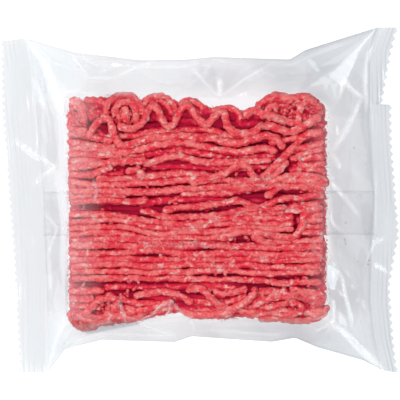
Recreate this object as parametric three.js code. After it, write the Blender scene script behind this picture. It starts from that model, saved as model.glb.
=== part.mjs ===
// A sealed pillow pack of minced beef, lying on its back.
//
// A tube of clear film is crimped shut across both ends and cut there with a zigzag knife. Inside it
// lies a flat-bottomed block of mince. The film runs as a tent from the block's top edges down to a
// fold line along each long side and to the two end seals, which stand out at mid height. The film
// hides no hollow that can be reached, so the pack is one solid, out to the film.
//
// Millimetres. +X runs from the left end seal to the right one, +Y to the back long side, +Z up. The
// origin is on the surface that the pack lies on, under the middle of its outline.

import * as THREE from "three";

const { clamp, lerp, smoothstep } = THREE.MathUtils;

// ---------------------------------------------------------------- driving dimensions

// the block of mince, which fills the middle of the tube
const BLOCK = { left: -65.5, right: 63, front: -59, back: 51, height: 36 };

const FOLD_HEIGHT = 15; // the fold line along each long side
const SEAL_HEIGHT = 13; // the end seals where they leave the tube
const SEAL_REACH = { from: 55, to: 80 }; // the distances along X over which a fold line comes to that height
const SEAL_DROOP = 2.5; // how much lower their cut edges hang
const SEAL_WAVE = { height: 1.6, turns: 1.2, phase: 0.8 }; // the slow wave along each seal
const FILM_THICKNESS = 0.7; // the flattened, crimped tube
const SLOPE_BULGE = 0.18; // how far the film's slopes belly out, as a share of their rise
const RIDGE_SOFTNESS = 0.16; // how much the ridges from the seals' corners to the block's are rounded
const MIN_SOFTNESS = 0.001; // and at the outline, where they are sharp

const TEETH = 45; // along each cut edge
const TOOTH_DEPTH = 1.6;
const CRIMPS = 5; // ridges across each seal
const CRIMP_DEPTH = 0.5;
const SLIT_TOOTH = 35; // the tear slit in the right seal; the flap behind it is pulled inwards
const SLIT_WIDTH = 0.3;

const SLOPE_COLUMNS = 5; // grid columns over each end slope
const BLOCK_COLUMNS = 19; // grid columns over the block

// ---------------------------------------------------------------- outlines

// Across the pack: [share of the way from front to back, x] of the tips of the teeth, and of the line
// where each seal meets the open tube.
const LEFT_TIPS = [
  [0, -89.9], [0.1, -91.1], [0.33, -93.1], [0.53, -95.7], [0.79, -98.9], [0.94, -99.4], [1, -99.3],
];
const LEFT_INNER = [[0, -76], [0.25, -76.3], [0.5, -77.9], [0.8, -81.9], [0.93, -84.2], [1, -86.4]];
const RIGHT_TIPS = [
  [0, 99], [0.1, 96.9], [0.25, 95.1], [0.34, 97.8], [0.4, 99.8], [0.5, 98.4], [0.675, 96.1], [0.78, 95.9],
];
const RIGHT_FLAP_TIPS = [[0.77, 91.1], [0.84, 93.1], [0.92, 95.6], [1, 99]];
const RIGHT_INNER = [
  [0, 90.8], [0.1, 86.6], [0.2, 84.6], [0.35, 85.3], [0.5, 87], [0.73, 84.6], [0.93, 84.6], [1, 88.6],
];

// Along the pack: [x, y] of the fold line on each long side. It steps out where a corner gusset starts.
const FRONT_FOLD = [
  [-90, -85.7], [-76, -85.8], [-67, -74], [-49, -69.4], [-12.5, -70.5], [-4, -67.6],
  [36, -70.4], [47.5, -68.4], [58.6, -73.1], [81.5, -79.6], [91, -84.6], [99, -86],
];
const BACK_FOLD = [
  [-97, 79.6], [-86.4, 80.8], [-62, 73.6], [-46, 71.8], [-30, 69.8], [-8, 70],
  [7, 71.5], [45, 70.2], [52.5, 74.9], [77, 82.6], [88.6, 86.2], [99, 86.2],
];

// Darts: V-shaped pockets of slack film, each opening from its apex to the long side.
const DARTS = [
  { apex: [9.5, 50], spread: 15, depth: 4, fold: BACK_FOLD },
  { apex: [-45, 58], spread: 15, depth: 2, fold: BACK_FOLD },
  { apex: [-15, -49], spread: 14, depth: 3, fold: FRONT_FOLD },
];

/** The value at `at` on a broken line of [position, value] points. */
function along(points, at) {
  const next = points.findIndex(([position]) => position >= at);
  if (next === 0) return points[0][1];
  if (next < 0) return points.at(-1)[1];
  const [p0, v0] = points[next - 1];
  const [p1, v1] = points[next];
  return lerp(v0, v1, (at - p0) / (p1 - p0));
}

// ---------------------------------------------------------------- the film's two faces

/** The smaller of two values, with the corner between them rounded where they differ by under `soft`. */
function softMin(a, b, soft) {
  const overlap = Math.max(soft - Math.abs(a - b), 0);
  return Math.min(a, b) - (overlap * overlap) / (4 * soft);
}

/** How far up the tent a point is: 0 on the outline and the seals' inner lines, 1 or more over the block. */
function tent(x, y, inner) {
  const front = along(FRONT_FOLD, x);
  const back = along(BACK_FOLD, x);
  const endSlope = Math.min(
    (x - inner.left) / (BLOCK.left - inner.left),
    (inner.right - x) / (inner.right - BLOCK.right),
  );
  const sideSlope = Math.min(
    (y - front) / (BLOCK.front - front),
    (back - y) / (back - BLOCK.back),
  );
  const softness = clamp(Math.min(endSlope, sideSlope), MIN_SOFTNESS, RIDGE_SOFTNESS);
  return Math.max(0, softMin(endSlope, sideSlope, softness));
}

/** How deep the darts press the upper film in at a point. */
function dartDepth(x, y) {
  let depth = 0;
  for (const { apex, spread, depth: most, fold } of DARTS) {
    const reach = (y - apex[1]) / (along(fold, apex[0]) - apex[1]);
    if (reach <= 0 || reach >= 1) continue;
    const across = Math.abs(x - apex[0]) / (spread * reach);
    depth += most * 4 * reach * (1 - reach) * Math.max(0, 1 - across);
  }
  return depth;
}

/** The height of the flattened tube's mid plane: outside is 0 at a seal's inner line, 1 at its tips. */
function seamHeight(share, outside, nearSeal) {
  const wave = SEAL_WAVE.height * Math.sin(Math.PI * 2 * SEAL_WAVE.turns * share + SEAL_WAVE.phase) * nearSeal;
  const crimp = (CRIMP_DEPTH / 2) * (1 - Math.cos(Math.PI * 2 * CRIMPS * outside));
  return lerp(FOLD_HEIGHT, SEAL_HEIGHT, nearSeal) + wave - SEAL_DROOP * outside ** 2 + crimp;
}

/** The heights of the upper and lower film at a grid point. */
function filmHeights({ x, y, share, inner, outside }) {
  const nearSeal = outside > 0 ? 1 : smoothstep(Math.abs(x), SEAL_REACH.from, SEAL_REACH.to);
  const seam = seamHeight(share, outside, nearSeal);
  const rise = tent(x, y, inner);
  const slope = Math.min(rise, 1);
  const bulged = slope + SLOPE_BULGE * slope * (1 - slope);
  const half = FILM_THICKNESS / 2;
  return {
    upper: lerp(seam + half, BLOCK.height, bulged) - dartDepth(x, y),
    lower: lerp(seam - half, 0, bulged),
  };
}

// ---------------------------------------------------------------- the grid of points

/** The grid's rows from front to back: one at each notch between two teeth, and two at the slit. */
function notchRows() {
  const sealLength = BACK_FOLD.at(-1)[1] - FRONT_FOLD.at(-1)[1];
  const rows = [];
  for (let notch = 0; notch <= TEETH; notch++) {
    const share = notch / TEETH;
    if (notch === SLIT_TOOTH) {
      rows.push({ share: share - SLIT_WIDTH / sealLength, isFlap: false, hasTooth: false });
    }
    rows.push({ share, isFlap: notch >= SLIT_TOOTH, hasTooth: notch < TEETH });
  }
  return rows;
}

/** The x of each column's point in a row, with how far outside the tube it lies. */
function columns({ share, isFlap }) {
  const inner = { left: along(LEFT_INNER, share), right: along(RIGHT_INNER, share) };
  const notch = {
    left: along(LEFT_TIPS, share) + TOOTH_DEPTH,
    right: along(isFlap ? RIGHT_FLAP_TIPS : RIGHT_TIPS, share) - TOOTH_DEPTH,
  };
  const steps = CRIMPS * 2;
  const list = [];
  for (let k = steps; k > 0; k--) {
    list.push({ x: lerp(inner.left, notch.left, k / steps), outside: k / steps });
  }
  for (let k = 0; k < SLOPE_COLUMNS; k++) {
    list.push({ x: lerp(inner.left, BLOCK.left, k / SLOPE_COLUMNS), outside: 0 });
  }
  for (let k = 0; k < BLOCK_COLUMNS; k++) {
    list.push({ x: lerp(BLOCK.left, BLOCK.right, k / BLOCK_COLUMNS), outside: 0 });
  }
  for (let k = 0; k < SLOPE_COLUMNS; k++) {
    list.push({ x: lerp(BLOCK.right, inner.right, k / SLOPE_COLUMNS), outside: 0 });
  }
  for (let k = 0; k <= steps; k++) {
    list.push({ x: lerp(inner.right, notch.right, k / steps), outside: k / steps });
  }
  return list.map((column) => ({ ...column, inner }));
}

/** Rows of points, each with its x, y and the heights of both films. */
function filmGrid() {
  const rows = notchRows().map((row) => ({ ...row, points: columns(row) }));
  const first = rows[0].points;
  const last = rows.at(-1).points;
  rows.forEach(({ share, points }) =>
    points.forEach((point, c) => {
      point.share = share;
      point.y = lerp(along(FRONT_FOLD, first[c].x), along(BACK_FOLD, last[c].x), share);
      Object.assign(point, filmHeights(point));
    }),
  );
  return rows;
}

// ---------------------------------------------------------------- the solid

/** Collects the corners of a closed mesh, and its triangles. */
class Shell {
  positions = [];
  triangles = [];

  corner(x, y, z) {
    this.positions.push(x, y, z);
    return this.positions.length / 3 - 1;
  }

  /** A face from its corners, anticlockwise seen from outside. */
  face(a, ...rest) {
    for (let k = 0; k + 1 < rest.length; k++) this.triangles.push(a, rest[k], rest[k + 1]);
  }

  geometry() {
    const geometry = new THREE.BufferGeometry();
    geometry.setAttribute("position", new THREE.Float32BufferAttribute(this.positions, 3));
    geometry.setIndex(this.triangles);
    return geometry;
  }
}

/** A tooth on a cut edge, between two notches given as { upper, lower } corners. */
function addTooth(shell, from, to, tip) {
  const upper = shell.corner(tip.x, tip.y, tip.upper);
  const lower = shell.corner(tip.x, tip.y, tip.lower);
  shell.face(from.upper, upper, to.upper);
  shell.face(from.lower, to.lower, lower);
  shell.face(from.lower, lower, upper, from.upper);
  shell.face(lower, to.lower, to.upper, upper);
}

/** The tip of the tooth between two notches, pushed out along x. */
function toothTip(a, b, out) {
  return {
    x: (a.x + b.x) / 2 + out * TOOTH_DEPTH,
    y: (a.y + b.y) / 2,
    upper: (a.upper + b.upper) / 2,
    lower: (a.lower + b.lower) / 2,
  };
}

function packGeometry() {
  const rows = filmGrid();
  const shell = new Shell();
  const corners = rows.map(({ points }) =>
    points.map(({ x, y, upper, lower }) => ({
      upper: shell.corner(x, y, upper),
      lower: shell.corner(x, y, lower),
    })),
  );
  const lastColumn = corners[0].length - 1;

  for (let r = 0; r + 1 < rows.length; r++) {
    const [near, far] = [corners[r], corners[r + 1]];
    for (let c = 0; c < lastColumn; c++) {
      shell.face(near[c].upper, near[c + 1].upper, far[c + 1].upper, far[c].upper);
      shell.face(near[c].lower, far[c].lower, far[c + 1].lower, near[c + 1].lower);
    }
    const [a, b] = [rows[r].points, rows[r + 1].points];
    if (rows[r].hasTooth) {
      addTooth(shell, far[0], near[0], toothTip(a[0], b[0], -1));
      addTooth(shell, near[lastColumn], far[lastColumn], toothTip(a[lastColumn], b[lastColumn], 1));
    } else {
      shell.face(far[0].lower, near[0].lower, near[0].upper, far[0].upper);
      const [from, to] = [near[lastColumn], far[lastColumn]];
      shell.face(from.lower, to.lower, to.upper, from.upper);
    }
  }
  const [front, back] = [corners[0], corners.at(-1)];
  for (let c = 0; c < lastColumn; c++) {
    shell.face(front[c].lower, front[c + 1].lower, front[c + 1].upper, front[c].upper);
    shell.face(back[c + 1].lower, back[c].lower, back[c].upper, back[c + 1].upper);
  }
  return shell.geometry();
}

/** Moves a geometry so that the middle of its outline is over the origin. */
function centred(geometry) {
  geometry.computeBoundingBox();
  const middle = geometry.boundingBox.getCenter(new THREE.Vector3());
  return geometry.translate(-middle.x, -middle.y, 0);
}

// ---------------------------------------------------------------- the model

const clearFilm = new THREE.MeshStandardMaterial({
  color: 0xe06a70,
  roughness: 0.25,
  metalness: 0,
});

const pack = new THREE.Mesh(centred(packGeometry()), clearFilm);
pack.name = "sealed_mince_pack";

const model = new THREE.Group();
model.add(pack);

export default model;
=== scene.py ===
"""The looks of a sealed pillow pack of minced beef, lying flat.

A tube of clear film, crimped shut across both ends, holds a block of mince. The block is made of the
strands that come out of a mincer: a full layer on top, the layer under it, dark with painted shade, the cut
ends at the left and right, curls along the long sides, and a flattened layer at the bottom, all over a
smaller core.

Lengths in this script are millimetres, and they become metres where a mesh is made. +X runs from the left
end seal to the right one, +Y to the back long side, +Z up.
"""

import math

import bpy
import numpy as np
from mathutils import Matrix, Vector


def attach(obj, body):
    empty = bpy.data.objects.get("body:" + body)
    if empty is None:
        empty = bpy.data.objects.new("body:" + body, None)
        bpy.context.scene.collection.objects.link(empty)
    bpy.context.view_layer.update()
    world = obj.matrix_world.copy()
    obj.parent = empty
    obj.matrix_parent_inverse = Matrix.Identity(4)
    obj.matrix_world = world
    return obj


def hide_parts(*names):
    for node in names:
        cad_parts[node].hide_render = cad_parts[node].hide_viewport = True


NODE = "sealed_mince_pack"
METRE = 1000.0
NOISE_REACH = 110.0  # noise over the pack reaches this far from its middle, past its ends
PACK_MIDDLE = (0.13, 0.2, 0)  # the middle of the pack's outline, which the frame puts over its origin

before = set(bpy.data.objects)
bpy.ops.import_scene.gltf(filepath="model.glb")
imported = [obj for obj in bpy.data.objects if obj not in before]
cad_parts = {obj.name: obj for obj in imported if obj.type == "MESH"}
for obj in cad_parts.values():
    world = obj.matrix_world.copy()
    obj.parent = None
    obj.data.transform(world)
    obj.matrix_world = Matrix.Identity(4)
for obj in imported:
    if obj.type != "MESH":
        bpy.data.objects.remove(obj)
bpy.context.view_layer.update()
rng = np.random.default_rng(20)

# ---------------------------------------------------------------- the CAD model's dimensions

BLOCK_LEFT, BLOCK_RIGHT = -65.5, 63.0
BLOCK_FRONT, BLOCK_BACK = -59.0, 51.0
BLOCK_HEIGHT = 36.0

FOLD_HEIGHT = 15.0
SEAL_HEIGHT = 13.0
SEAL_REACH = (55.0, 80.0)
SEAL_DROOP = 2.5
SEAL_WAVE_HEIGHT, SEAL_WAVE_TURNS, SEAL_WAVE_PHASE = 1.6, 1.2, 0.8
SLOPE_BULGE = 0.18
RIDGE_SOFTNESS = 0.16
MIN_SOFTNESS = 0.001

TEETH = 45
TOOTH_DEPTH = 1.6
SLIT_TOOTH = 35

LEFT_TIPS = [(0, -89.9), (0.1, -91.1), (0.33, -93.1), (0.53, -95.7), (0.79, -98.9), (0.94, -99.4), (1, -99.3)]
LEFT_INNER = [(0, -76), (0.25, -76.3), (0.5, -77.9), (0.8, -81.9), (0.93, -84.2), (1, -86.4)]
RIGHT_TIPS = [
    (0, 99), (0.1, 96.9), (0.25, 95.1), (0.34, 97.8), (0.4, 99.8), (0.5, 98.4), (0.675, 96.1), (0.78, 95.9),
]
RIGHT_FLAP_TIPS = [(0.77, 91.1), (0.84, 93.1), (0.92, 95.6), (1, 99)]
RIGHT_INNER = [
    (0, 90.8), (0.1, 86.6), (0.2, 84.6), (0.35, 85.3), (0.5, 87), (0.73, 84.6), (0.93, 84.6), (1, 88.6),
]
FRONT_FOLD = [
    (-90, -85.7), (-76, -85.8), (-67, -74), (-49, -69.4), (-12.5, -70.5), (-4, -67.6),
    (36, -70.4), (47.5, -68.4), (58.6, -73.1), (81.5, -79.6), (91, -84.6), (97.9, -85.8),
]
BACK_FOLD = [
    (-97, 79.6), (-86.4, 80.8), (-62, 73.6), (-46, 71.8), (-30, 69.8), (-8, 70),
    (7, 71.5), (45, 70.2), (52.5, 74.9), (77, 82.6), (88.6, 86.2), (99, 86.2),
]

# ---------------------------------------------------------------- small helpers


def along(points, at):
    """The value at `at` on a broken line of (position, value) points."""
    positions, values = zip(*points)
    return np.interp(at, positions, values)


def smooth(share):
    """Eases 0..1 in and out."""
    share = np.clip(share, 0, 1)
    return share * share * (3 - 2 * share)


def soft_min(a, b, soft):
    """The smaller of two values, with the corner between them rounded where they differ by under `soft`."""
    overlap = np.maximum(soft - np.abs(a - b), 0)
    return np.minimum(a, b) - overlap * overlap / (4 * soft)


def line_noise(at, spacing):
    """Smooth noise of about -1 to 1 along a line, with its hills about `spacing` apart."""
    position = (at - at.min()) / spacing
    index = position.astype(int)
    knots = rng.normal(0, 0.5, index.max() + 2)
    return knots[index] + (knots[index + 1] - knots[index]) * smooth(position - index)


class Hills:
    """Smooth noise of about -1 to 1 over the pack, with its hills this far apart along X and Y."""

    def __init__(self, along_x, along_y):
        self.spacing = (along_x, along_y)
        self.knots = rng.normal(0, 0.5, [int(2 * NOISE_REACH / s) + 3 for s in self.spacing])

    def __call__(self, x, y):
        column, row = ((np.asarray(v, float) + NOISE_REACH) / s for v, s in zip((x, y), self.spacing))
        i, j = column.astype(int), row.astype(int)
        u, v = smooth(column - i), smooth(row - j)
        near = self.knots[i, j] * (1 - u) + self.knots[i + 1, j] * u
        far = self.knots[i, j + 1] * (1 - u) + self.knots[i + 1, j + 1] * u
        return near * (1 - v) + far * v


class Facets:
    """Crumpled film: flat facets about this wide that meet in sharp creases, about -1 to 1 high."""

    def __init__(self, width):
        self.width = width
        across = int(2.4 * NOISE_REACH / width) + 4
        self.knots = rng.normal(0, 0.5, (across, across))
        self.shift_x, self.shift_y = Hills(2.3 * width, 1.9 * width), Hills(1.9 * width, 2.3 * width)

    def __call__(self, x, y):
        column = (x + 1.1 * NOISE_REACH) / self.width + 0.9 * self.shift_x(x, y)
        row = (y + 1.1 * NOISE_REACH) / self.width + 0.9 * self.shift_y(x, y)
        i, j = column.astype(int), row.astype(int)
        u, v = column - i, row - j
        a, b = self.knots[i, j], self.knots[i + 1, j]
        c, d = self.knots[i, j + 1], self.knots[i + 1, j + 1]
        return np.where(u + v < 1, a + (b - a) * u + (c - a) * v, d + (c - d) * (1 - u) + (b - d) * (1 - v))


def distance_along(points):
    """How far along a path each of its points is."""
    steps = np.linalg.norm(np.diff(points, axis=0), axis=1)
    return np.concatenate([[0], np.cumsum(steps)])


def smooth_path(points, step):
    """A Catmull-Rom curve through the points, as points about `step` apart."""
    points = np.asarray(points, float)
    ends = [2 * points[0] - points[1]], [2 * points[-1] - points[-2]]
    p = np.concatenate([ends[0], points, ends[1]])
    t = np.linspace(0, 1, 12, endpoint=False)[:, None]
    pieces = [
        0.5 * (2 * b + (c - a) * t + (2 * a - 5 * b + 4 * c - d) * t**2 + (3 * b - a - 3 * c + d) * t**3)
        for a, b, c, d in zip(p, p[1:], p[2:], p[3:])
    ]
    return resample(np.concatenate([*pieces, points[-1:]]), step)


def resample(points, step):
    """The same path with its points evenly spaced, about `step` apart."""
    where = distance_along(points)
    count = max(4, round(where[-1] / step) + 1)
    even = np.linspace(0, where[-1], count)
    return np.stack([np.interp(even, where, points[:, axis]) for axis in range(points.shape[1])], axis=1)


def add_piece(name, corners, faces, material):
    """A mesh piece from corners in millimetres, riding on the pack."""
    mesh = bpy.data.meshes.new(name)
    mesh.from_pydata(((np.asarray(corners) - PACK_MIDDLE) / METRE).tolist(), [], faces)
    mesh.polygons.foreach_set("use_smooth", [True] * len(mesh.polygons))
    mesh.materials.append(material)
    piece = bpy.data.objects.new(name, mesh)
    bpy.context.scene.collection.objects.link(piece)
    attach(piece, "root")
    return piece


# ---------------------------------------------------------------- materials


def add_values(piece, **values_by_name):
    """Give each corner of a piece one value of every attribute named."""
    for name, values in values_by_name.items():
        attribute = piece.data.attributes.new(name, "FLOAT", "POINT")
        attribute.data.foreach_set("value", values.ravel().astype(np.float32))


def new_material(name):
    material = bpy.data.materials.new(name)
    material.use_nodes = True
    nodes = material.node_tree.nodes
    nodes.clear()
    return material, nodes, material.node_tree.links


def read_attribute(nodes, name):
    """What the attribute of this name says at each place."""
    node = nodes.new("ShaderNodeAttribute")
    node.attribute_name = name
    return node.outputs["Fac"]


def show_surface(nodes, links, shading):
    """Makes a shader the material's surface."""
    output = nodes.new("ShaderNodeOutputMaterial")
    links.new(shading, output.inputs["Surface"])


def link_value(links, socket, value):
    """Sets a socket to a number, or links it to another socket."""
    if isinstance(value, bpy.types.NodeSocket):
        links.new(value, socket)
    else:
        socket.default_value = value


def maths(nodes, links, operation, a, b=0.0, clamp=False):
    node = nodes.new("ShaderNodeMath")
    node.operation = operation
    node.use_clamp = clamp
    link_value(links, node.inputs[0], a)
    link_value(links, node.inputs[1], b)
    return node.outputs[0]


def mix_colour(nodes, links, factor, a, b):
    node = nodes.new("ShaderNodeMix")
    node.data_type = "RGBA"
    link_value(links, node.inputs["Factor"], factor)
    link_value(links, node.inputs[6], a)
    link_value(links, node.inputs[7], b)
    return node.outputs[2]


def noise(nodes, links, scale, detail=3.0, roughness=0.55, stretch=(1, 1, 1)):
    """Noise with its features one metre over `scale` across, stretched along the object's axes."""
    place = nodes.new("ShaderNodeTexCoord").outputs["Object"]
    mapping = nodes.new("ShaderNodeMapping")
    mapping.inputs["Scale"].default_value = stretch
    links.new(place, mapping.inputs["Vector"])
    node = nodes.new("ShaderNodeTexNoise")
    node.inputs["Scale"].default_value = scale
    node.inputs["Detail"].default_value = detail
    node.inputs["Roughness"].default_value = roughness
    links.new(mapping.outputs["Vector"], node.inputs["Vector"])
    return node.outputs["Fac"]


def ramp(nodes, links, value, low, high):
    """0 below `low`, 1 above `high`, and smooth between."""
    node = nodes.new("ShaderNodeMapRange")
    node.interpolation_type = "SMOOTHSTEP"
    links.new(value, node.inputs["Value"])
    node.inputs["From Min"].default_value = low
    node.inputs["From Max"].default_value = high
    return node.outputs["Result"]


LEAN_DARK = (0.78, 0.024, 0.050, 1)
LEAN_LIGHT = (0.88, 0.186, 0.178, 1)
FAT = (0.85, 0.57, 0.52, 1)
# Painted shade: the reds of the crevices between strands and of the lower layers, where less light reaches.
CREVICE_SHADE_RED = (0.68, 0.009, 0.052, 1)
DEEP_SHADE_RED = (0.40, 0.003, 0.032, 1)


def mince_material():
    """Moist raw beef: lean in grains of two reds, with painted highlight on the strands' crests and painted
    shade down their sides, and with flecks of fat. Painted shade darkens it with the depth attribute in
    crevices and the lower layers, and each strand has its own tone.
    """
    material, nodes, links = new_material("minced_beef")
    tone, depth = read_attribute(nodes, "tone"), read_attribute(nodes, "depth")

    fine = noise(nodes, links, 1000, detail=3, roughness=0.7, stretch=(0.8, 1, 1))
    coarse = noise(nodes, links, 340, detail=2, stretch=(0.6, 1, 1))
    grain_and_crest_light = maths(nodes, links, "ADD", fine, coarse)
    grain_and_crest_light = maths(nodes, links, "ADD", grain_and_crest_light, maths(nodes, links, "MULTIPLY", tone, 0.04))
    # Painted highlight and shade: the crests grow paler and the sides darker with the depth attribute.
    grain_and_crest_light = maths(nodes, links, "ADD", grain_and_crest_light, maths(nodes, links, "MULTIPLY", depth, -2.0))
    lean = mix_colour(nodes, links, ramp(nodes, links, grain_and_crest_light, 0.78, 1.18), LEAN_DARK, LEAN_LIGHT)
    patches = noise(nodes, links, 190, detail=2)
    flecks = noise(nodes, links, 430, detail=3, roughness=0.6, stretch=(0.8, 1, 1))
    flecks = maths(nodes, links, "ADD", flecks, maths(nodes, links, "MULTIPLY", patches, 0.3))
    fatty = ramp(nodes, links, flecks, 0.67, 0.93)
    colour = mix_colour(nodes, links, fatty, lean, FAT)
    # Painted shade: crevices and the lower layers take darker reds, with ragged edges from the flecks.
    mottled_shade = maths(nodes, links, "MULTIPLY_ADD", flecks, -0.5)
    links.new(depth, mottled_shade.node.inputs[2])
    crevice_shade = maths(nodes, links, "MULTIPLY", ramp(nodes, links, mottled_shade, -0.31, -0.12), 0.86)
    deep_shade = maths(nodes, links, "MULTIPLY", ramp(nodes, links, mottled_shade, -0.15, 0.14), 0.94)
    colour = mix_colour(nodes, links, crevice_shade, colour, CREVICE_SHADE_RED)
    colour = mix_colour(nodes, links, deep_shade, colour, DEEP_SHADE_RED)

    bump = nodes.new("ShaderNodeBump")
    bump.inputs["Strength"].default_value = 0.7
    bump.inputs["Distance"].default_value = 0.0008
    links.new(noise(nodes, links, 800, detail=4, roughness=0.65), bump.inputs["Height"])

    shader = nodes.new("ShaderNodeBsdfPrincipled")
    links.new(colour, shader.inputs["Base Color"])
    roughness = maths(nodes, links, "MULTIPLY_ADD", depth, 1.6, clamp=True)
    roughness.node.inputs[2].default_value = 0.42
    links.new(roughness, shader.inputs["Roughness"])
    shader.inputs["Specular IOR Level"].default_value = 0.35
    shader.inputs["Subsurface Weight"].default_value = 0.4
    shader.inputs["Subsurface Radius"].default_value = (1.0, 0.3, 0.25)
    shader.inputs["Subsurface Scale"].default_value = 0.0018
    links.new(bump.outputs["Normal"], shader.inputs["Normal"])
    show_surface(nodes, links, shader.outputs["BSDF"])
    return material


WHITENED = 3.0  # how much faster than it turns white a hazy film loses its edge tint
WET_LOSS = 0.7  # how much of its reflection the film loses where wet mince touches it


def film_material(name, tint, edge_tint, reflectance):
    """Clear film: it lets light straight through and reflects by its angle. It whitens with the haze
    attribute, which also carries painted light and highlight, and greys with painted shade where that is
    negative. It is less of a mirror where its contact attribute says that wet mince touches it.

    The tint is what it looks like seen straight, and the edge tint seen from the edge, through more of it.
    The reflectance is that of both its faces, seen straight.
    """
    material, nodes, links = new_material(name)
    clear = nodes.new("ShaderNodeBsdfTransparent")
    gloss = nodes.new("ShaderNodeBsdfGlossy")
    gloss.inputs["Roughness"].default_value = 0.09
    haze = nodes.new("ShaderNodeBsdfDiffuse")
    haze.inputs["Color"].default_value = (0.88, 0.95, 0.98, 1)

    haze_and_painted_light_level, contact = read_attribute(nodes, "haze"), read_attribute(nodes, "contact")
    facing = nodes.new("ShaderNodeLayerWeight")
    facing.inputs["Blend"].default_value = 0.5
    whitened = maths(nodes, links, "MULTIPLY", haze_and_painted_light_level, WHITENED)
    clearness = maths(nodes, links, "SUBTRACT", 1.0, whitened, clamp=True)
    shade = maths(nodes, links, "MULTIPLY", facing.outputs["Facing"], clearness)
    # Painted shade: negative haze greys the film towards its edge tint.
    painted_shade = maths(nodes, links, "MULTIPLY", haze_and_painted_light_level, -1.0, clamp=True)
    shade = maths(nodes, links, "ADD", shade, painted_shade, clamp=True)
    links.new(mix_colour(nodes, links, shade, tint, edge_tint), clear.inputs["Color"])
    grazing = maths(nodes, links, "POWER", facing.outputs["Facing"], 5.0)
    reflected = maths(nodes, links, "MULTIPLY", grazing, 1 - reflectance)
    reflected = maths(nodes, links, "ADD", reflected, reflectance, clamp=True)
    wetted = maths(nodes, links, "MULTIPLY", contact, WET_LOSS)
    reflected = maths(nodes, links, "MULTIPLY", reflected, maths(nodes, links, "SUBTRACT", 1.0, wetted))

    # Positive haze mixes in white diffuse haze, which also carries painted light and highlight.
    see_through = nodes.new("ShaderNodeMixShader")
    links.new(maths(nodes, links, "ADD", haze_and_painted_light_level, 0.0, clamp=True), see_through.inputs["Fac"])
    links.new(clear.outputs["BSDF"], see_through.inputs[1])
    links.new(haze.outputs["BSDF"], see_through.inputs[2])
    surface = nodes.new("ShaderNodeMixShader")
    links.new(reflected, surface.inputs["Fac"])
    links.new(see_through.outputs["Shader"], surface.inputs[1])
    links.new(gloss.outputs["BSDF"], surface.inputs[2])
    show_surface(nodes, links, surface.outputs["Shader"])
    return material


def floor_material():
    """White, and lit a little from below, as a light table is, so that it shows hardly any shadow."""
    material, nodes, links = new_material("white_floor")
    shader = nodes.new("ShaderNodeBsdfPrincipled")
    shader.inputs["Base Color"].default_value = (0.32, 0.32, 0.32, 1)
    shader.inputs["Roughness"].default_value = 1.0
    shader.inputs["Specular IOR Level"].default_value = 0.0
    shader.inputs["Emission Color"].default_value = (1, 1, 1, 1)
    shader.inputs["Emission Strength"].default_value = 0.85
    show_surface(nodes, links, shader.outputs["BSDF"])
    return material


# ---------------------------------------------------------------- the film

SEALED_GAP = 0.12  # between the two films in a seal
FILM_LIFT = 0.35  # of the lower film, which has the back seam under it
TOP_FILM = 35.4  # the film over the block, between its creases
LEFT_CRIMPS, RIGHT_CRIMPS = (2.6, 0.13), (2.2, 0.13)  # pitch and depth
SHOULDER = 0.35  # how softly the film rolls over onto the block, as a share of its slope
CORNER_CUT = (0.465, 0.465)  # the flat facet on each corner, as shares of its end slope and its side slope
BACK_RIGHT_CUT = (0.26, 0.52)

# How hazy the film is, with painted light where it whitens and painted shade where it greys: on the slopes by
# x, at the seals, and where it is whiter over the block's ends.
# Painted light and shade: the slopes' haze whitens the left and greys the right, and more haze whitens the
# front.
SLOPE_HAZE_AND_PAINTED_LIGHT = [(-90, 0.25), (-50, 0.24), (0, 0.09), (50, -0.12), (90, -0.16)]
FRONT_PAINTED_LIGHT, FRONT_PAINTED_LIGHT_FROM, FRONT_PAINTED_LIGHT_LENGTH = 0.10, -50, 9  # added towards the front: how much, and where
# Painted shade: the folded edges grey, and loose film greys no further than the least haze below.
FOLD_PAINTED_SHADE, FOLD_SHARE = 0.25, 0.07  # how much greyer the folded edges are, over this share of the slope
DEEPEST_PAINTED_SHADE = -0.35  # the least haze of loose film
# Painted highlight: creases whiten with haze.
CREASE_PAINTED_HIGHLIGHT = 0.5  # how much a crease of one millimetre whitens the film, unless it has its own haze
# Painted shade: the seals are greyer, the right one more.
SEAL_PAINTED_SHADE = (-0.09, -0.21)  # at the left and the right, where it is greyer instead
LEFT_MIST, LEFT_MIST_FROM, LEFT_MIST_LENGTH = 0.15, -46, 16  # how hazy, from where, and over what length
RIGHT_MIST, RIGHT_MIST_FROM, RIGHT_MIST_LENGTH = 0.07, 50, 12
HAZE_RIM = 0.14  # the share of the slope beside the block over which the slopes' haze ends
LOWER_HAZE = 0.35  # how hazy the lower film is, as a share of the upper one
FACET_RIM = 0.6  # how far in from a facet's edge its haze is whole

BROAD_SLACK, FINE_SLACK, LOWER_SLACK = 3.6, 0.5, 2.0  # how far slack film rises and falls in facets
CRIMP_WOBBLE, SEAL_BUCKLE = 0.6, 0.5  # how far the crimps stray, and how far the seals rise and fall
SLIT_WIDTH = 0.0015  # of the tear slit, as a share of the seal's length
NOTCH_WIDTH = 0.03  # the least that a tooth reaches out, so that no mesh edge has no length

# How many rows of mesh each tooth has, and how many columns the left seal, the left slope, the block, the
# right slope and the right seal have, in the upper and the lower film.
UPPER_GRID = (6, (34, 28, 150, 38, 26))
LOWER_GRID = (2, (28, 14, 60, 20, 20))
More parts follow.
